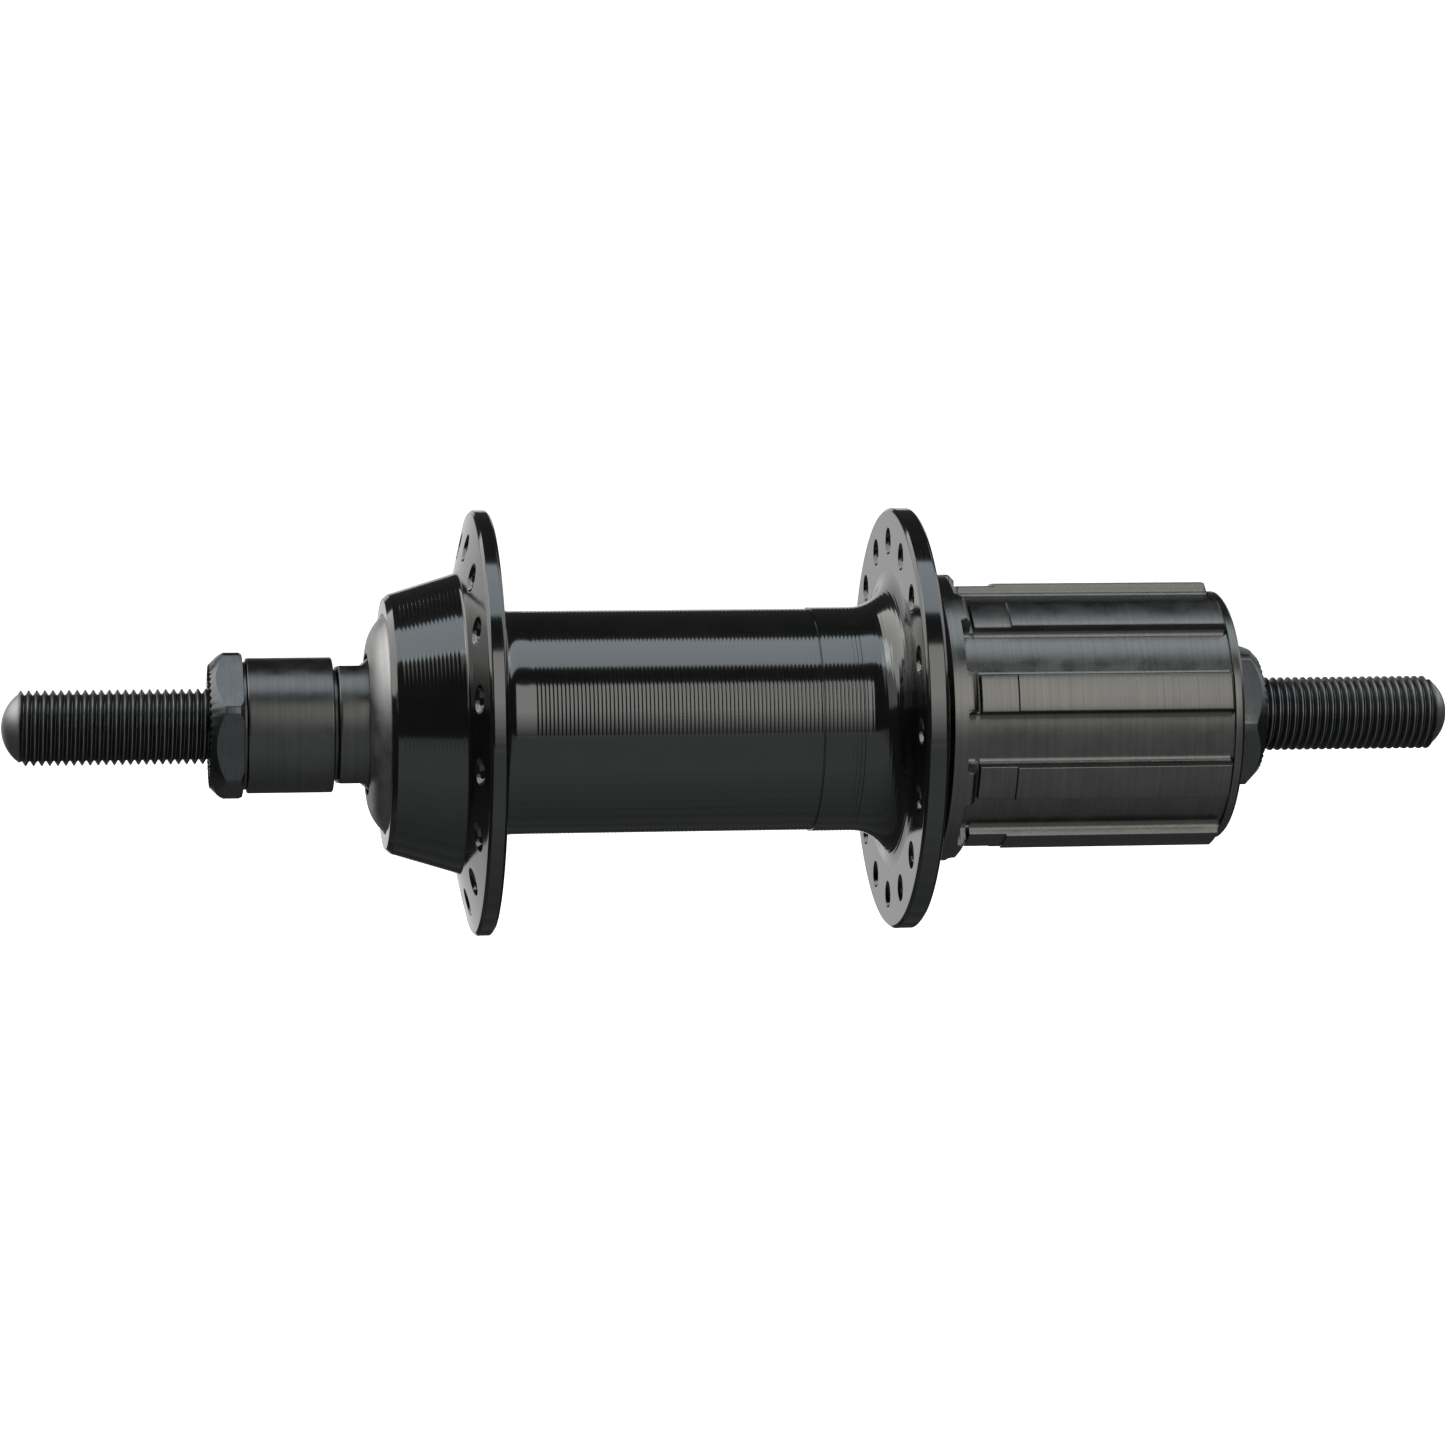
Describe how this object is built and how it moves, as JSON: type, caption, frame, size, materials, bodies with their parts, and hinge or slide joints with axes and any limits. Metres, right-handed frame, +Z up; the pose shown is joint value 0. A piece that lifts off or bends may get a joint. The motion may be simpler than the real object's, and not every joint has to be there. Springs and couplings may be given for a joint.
{
  "type": "rear bicycle hub",
  "caption": "Rear bicycle hub with a splined cassette body on a solid threaded axle: turned shell with two spoke flanges, cup-and-cone bearings and hexagon locknuts",
  "frame": {"origin": "on the axle, halfway between the outer faces of the two locknuts, which is also the centre of the bounding box", "axes": "+Y along the axle towards the left (non-drive) side, so the cassette body is on the -Y side; +Z up; +X forwards"},
  "size_m": [0.054, 0.1864, 0.054],
  "materials": {
    "axle_steel": "satin",
    "nut_steel": "satin",
    "cone_steel": "satin",
    "shell_black": "gloss",
    "cap_steel": "satin",
    "race_steel": "ground",
    "freehub_steel": "phosphate coated, lightly greased",
    "ball_steel": "polished",
    "seal_rubber": "matte"
  },
  "bodies": {
    "axle_set": {"axle": "axle_steel", "left_locknut": "nut_steel", "right_locknut": "nut_steel", "left_outer_washer": "cone_steel", "left_inner_washer": "cone_steel", "right_washer": "cone_steel", "left_spacer": "cone_steel", "left_cone": "cone_steel", "right_cone": "cone_steel", "left_cone_seal": "seal_rubber"},
    "shell": {"hub_shell": "shell_black", "left_bearing_cup": "race_steel", "left_dust_cap": "cap_steel", "freehub_inner_body": "race_steel", "freehub_fixing_bolt": "race_steel", "freehub_bolt_washer": "race_steel", "freehub_shim": "race_steel", "freehub_ball_cup": "race_steel", "right_dust_cap": "cap_steel", "pawl_spring": "race_steel"},
    "freehub": {"freehub_body": "freehub_steel", "freehub_inboard_seal": "seal_rubber"},
    "left_ball_ring": {"left_balls": "ball_steel"},
    "right_ball_ring": {"right_balls": "ball_steel"},
    "inboard_ball_ring": {"freehub_inboard_balls": "ball_steel"},
    "outboard_ball_ring": {"freehub_outboard_balls": "ball_steel"},
    "first_pawl": {"pawl_a": "race_steel"},
    "second_pawl": {"pawl_b": "race_steel"}
  },
  "joints": [
    {"name": "hub_spin", "type": "hinge", "parent": "axle_set", "child": "shell", "pos_m": [0, 0, 0], "axis": [0, 1, 0], "continuous": true},
    {"name": "freehub_spin", "type": "hinge", "parent": "shell", "child": "freehub", "pos_m": [0, 0, 0], "axis": [0, 1, 0], "continuous": true},
    {"name": "left_balls_roll", "type": "hinge", "parent": "axle_set", "child": "left_ball_ring", "pos_m": [0, 0, 0], "axis": [0, 1, 0], "continuous": true},
    {"name": "right_balls_roll", "type": "hinge", "parent": "axle_set", "child": "right_ball_ring", "pos_m": [0, 0, 0], "axis": [0, 1, 0], "continuous": true},
    {"name": "inboard_balls_roll", "type": "hinge", "parent": "shell", "child": "inboard_ball_ring", "pos_m": [0, 0, 0], "axis": [0, 1, 0], "continuous": true},
    {"name": "outboard_balls_roll", "type": "hinge", "parent": "shell", "child": "outboard_ball_ring", "pos_m": [0, 0, 0], "axis": [0, 1, 0], "continuous": true},
    {"name": "first_pawl_pivot", "type": "hinge", "parent": "shell", "child": "first_pawl", "pos_m": [0.00977, -0.036, -0.00356], "axis": [0, 1, 0], "range_deg": [0, 12], "stiffness_Nm_per_rad": 0.004, "springref_deg": 12},
    {"name": "second_pawl_pivot", "type": "hinge", "parent": "shell", "child": "second_pawl", "pos_m": [-0.00977, -0.036, 0.00356], "axis": [0, 1, 0], "range_deg": [0, 12], "stiffness_Nm_per_rad": 0.004, "springref_deg": 12}
  ],
  "couplings": [
    {"joint": "left_balls_roll", "follows": "hub_spin", "ratio": 0.6169},
    {"joint": "right_balls_roll", "follows": "hub_spin", "ratio": 0.6169},
    {"joint": "inboard_balls_roll", "follows": "freehub_spin", "ratio": 0.5435},
    {"joint": "outboard_balls_roll", "follows": "freehub_spin", "ratio": 0.5435}
  ]
}
